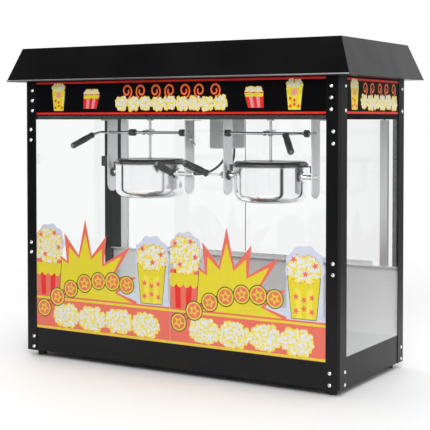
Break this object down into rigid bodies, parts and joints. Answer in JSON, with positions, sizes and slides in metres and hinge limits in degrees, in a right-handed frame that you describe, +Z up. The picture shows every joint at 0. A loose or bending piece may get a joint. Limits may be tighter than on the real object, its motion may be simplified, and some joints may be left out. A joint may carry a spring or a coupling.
{
  "type": "popcorn machine",
  "caption": "Glazed cabinet popcorn machine with a black hood, a sign band and two hanging kettles that tip, with drive shafts and lift levers",
  "frame": {"origin": "middle of the footprint, on the surface that the feet stand on", "axes": "+X to the right along the front, +Y from the front to the rear, +Z up"},
  "size_m": [0.971, 0.441, 0.798],
  "materials": {
    "black_coat": "fine textured powder coat",
    "stainless": "polished stainless",
    "steel_dark": "stainless, darker reflections",
    "glass_clear": "clear tempered glass",
    "pane_clear": "clear sheet",
    "print_film": "printed film",
    "sign_panel": "printed backlit panel",
    "screw_steel": "bright zinc",
    "foot_rubber": "black rubber",
    "grip_plastic": "black phenolic",
    "switch_black": "black nylon",
    "switch_red": "red translucent rocker",
    "switch_green": "green translucent rocker",
    "stile_alu": "satin anodised",
    "motor_metal": "die cast housing",
    "box_grey": "light grey coat",
    "lead_sleeve": "heat proof sleeve",
    "lamp_glass": "frosted lamp glass",
    "heater_iron": "cast heating plate"
  },
  "bodies": {
    "root": {"base_pan": "black_coat", "deck": "stainless", "crumb_screen": "stainless", "feet": "foot_rubber", "post_front_left": "black_coat", "post_front_right": "black_coat", "post_rear_left": "black_coat", "post_rear_right": "black_coat", "corner_screws": "screw_steel", "front_glass": "glass_clear", "front_decals": "print_film", "side_glass_left": "glass_clear", "side_glass_right": "glass_clear", "front_sign": "sign_panel", "side_signs": "sign_panel", "rear_header": "black_coat", "switch_bezels": "switch_black", "cable_gland": "switch_black", "ceiling_plate": "black_coat", "roof_hood": "black_coat", "gear_motors": "motor_metal", "control_box": "box_grey", "socket_box": "box_grey", "kettle_leads": "lead_sleeve", "hanger_arms": "stainless", "cabin_lamp": "lamp_glass", "rear_apron": "stainless"},
    "drawer": {"kernel_drawer": "stainless"},
    "door_left": {"door_pane_left": "pane_clear", "door_stile_left": "stile_alu"},
    "kettle_left": {"kettle_shell_left": "stainless", "kettle_pan_left": "stainless", "heating_plate_left": "heater_iron", "tilt_grip_left": "grip_plastic", "lid_bridge_left": "steel_dark"},
    "lid_front_left": {"lid_flap_front_left": "steel_dark"},
    "lid_rear_left": {"lid_flap_rear_left": "steel_dark"},
    "stirrer_left": {"stirrer_left": "stainless"},
    "hub_left": {"drive_hub_left": "steel_dark"},
    "shaft_left": {"drive_shaft_left": "stainless"},
    "lever_left": {"lift_bar_left": "stainless", "lift_grip_left": "grip_plastic"},
    "door_right": {"door_pane_right": "pane_clear", "door_stile_right": "stile_alu"},
    "kettle_right": {"kettle_shell_right": "stainless", "kettle_pan_right": "stainless", "heating_plate_right": "heater_iron", "tilt_grip_right": "grip_plastic", "lid_bridge_right": "steel_dark"},
    "lid_front_right": {"lid_flap_front_right": "steel_dark"},
    "lid_rear_right": {"lid_flap_rear_right": "steel_dark"},
    "stirrer_right": {"stirrer_right": "stainless"},
    "hub_right": {"drive_hub_right": "steel_dark"},
    "shaft_right": {"drive_shaft_right": "stainless"},
    "lever_right": {"lift_bar_right": "stainless", "lift_grip_right": "grip_plastic"},
    "switch_light": {"switch_light": "switch_green"},
    "switch_motor": {"switch_motor": "switch_black"},
    "switch_heat_left": {"switch_heat_left": "switch_red"},
    "switch_heat_right": {"switch_heat_right": "switch_red"}
  },
  "joints": [
    {"name": "drawer_slide", "type": "slide", "parent": "root", "child": "drawer", "axis": [0, 1, 0], "range_m": [0, 0.13]},
    {"name": "door_swing_left", "type": "hinge", "parent": "root", "child": "door_left", "pos_m": [-0.396, 0.179, 0.4], "axis": [0, 0, 1], "range_deg": [0, 100]},
    {"name": "kettle_tilt_left", "type": "hinge", "parent": "root", "child": "kettle_left", "pos_m": [-0.179, -0.0085, 0.4755], "axis": [1, 0, 0], "range_deg": [0, 100]},
    {"name": "lid_front_lift_left", "type": "hinge", "parent": "kettle_left", "child": "lid_front_left", "pos_m": [-0.179, -0.0205, 0.5083], "axis": [-1, 0, 0], "range_deg": [0, 70]},
    {"name": "lid_rear_lift_left", "type": "hinge", "parent": "kettle_left", "child": "lid_rear_left", "pos_m": [-0.179, 0.0035, 0.5083], "axis": [1, 0, 0], "range_deg": [0, 70]},
    {"name": "stir_left", "type": "hinge", "parent": "kettle_left", "child": "stirrer_left", "pos_m": [-0.179, -0.0085, 0.45], "axis": [0, 0, 1], "continuous": true},
    {"name": "hub_spin_left", "type": "hinge", "parent": "root", "child": "hub_left", "pos_m": [-0.179, -0.0085, 0.63], "axis": [0, 0, 1], "continuous": true},
    {"name": "lever_turn_left", "type": "hinge", "parent": "root", "child": "lever_left", "pos_m": [-0.179, -0.0225, 0.581], "axis": [1, 0, 0], "range_deg": [0, 40]},
    {"name": "shaft_lift_left", "type": "slide", "parent": "hub_left", "child": "shaft_left", "axis": [0, 0, 1], "range_m": [0, 0.016]},
    {"name": "door_swing_right", "type": "hinge", "parent": "root", "child": "door_right", "pos_m": [0.396, 0.179, 0.4], "axis": [0, 0, -1], "range_deg": [0, 100]},
    {"name": "kettle_tilt_right", "type": "hinge", "parent": "root", "child": "kettle_right", "pos_m": [0.179, -0.0085, 0.4755], "axis": [1, 0, 0], "range_deg": [0, 100]},
    {"name": "lid_front_lift_right", "type": "hinge", "parent": "kettle_right", "child": "lid_front_right", "pos_m": [0.179, -0.0205, 0.5083], "axis": [-1, 0, 0], "range_deg": [0, 70]},
    {"name": "lid_rear_lift_right", "type": "hinge", "parent": "kettle_right", "child": "lid_rear_right", "pos_m": [0.179, 0.0035, 0.5083], "axis": [1, 0, 0], "range_deg": [0, 70]},
    {"name": "stir_right", "type": "hinge", "parent": "kettle_right", "child": "stirrer_right", "pos_m": [0.179, -0.0085, 0.45], "axis": [0, 0, 1], "continuous": true},
    {"name": "hub_spin_right", "type": "hinge", "parent": "root", "child": "hub_right", "pos_m": [0.179, -0.0085, 0.63], "axis": [0, 0, 1], "continuous": true},
    {"name": "lever_turn_right", "type": "hinge", "parent": "root", "child": "lever_right", "pos_m": [0.179, -0.0225, 0.581], "axis": [1, 0, 0], "range_deg": [0, 40]},
    {"name": "shaft_lift_right", "type": "slide", "parent": "hub_right", "child": "shaft_right", "axis": [0, 0, 1], "range_m": [0, 0.016]},
    {"name": "rocker_light", "type": "hinge", "parent": "root", "child": "switch_light", "pos_m": [-0.06, 0.1835, 0.665], "axis": [1, 0, 0], "range_deg": [0, 20]},
    {"name": "rocker_motor", "type": "hinge", "parent": "root", "child": "switch_motor", "pos_m": [-0.02, 0.1835, 0.665], "axis": [1, 0, 0], "range_deg": [0, 20]},
    {"name": "rocker_heat_left", "type": "hinge", "parent": "root", "child": "switch_heat_left", "pos_m": [0.02, 0.1835, 0.665], "axis": [1, 0, 0], "range_deg": [0, 20]},
    {"name": "rocker_heat_right", "type": "hinge", "parent": "root", "child": "switch_heat_right", "pos_m": [0.06, 0.1835, 0.665], "axis": [1, 0, 0], "range_deg": [0, 20]}
  ],
  "couplings": [
    {"joint": "hub_spin_left", "follows": "stir_left", "ratio": 1},
    {"joint": "shaft_lift_left", "follows": "lever_turn_left", "m_per_rad": 0.021},
    {"joint": "hub_spin_right", "follows": "stir_right", "ratio": 1},
    {"joint": "shaft_lift_right", "follows": "lever_turn_right", "m_per_rad": 0.021}
  ]
}
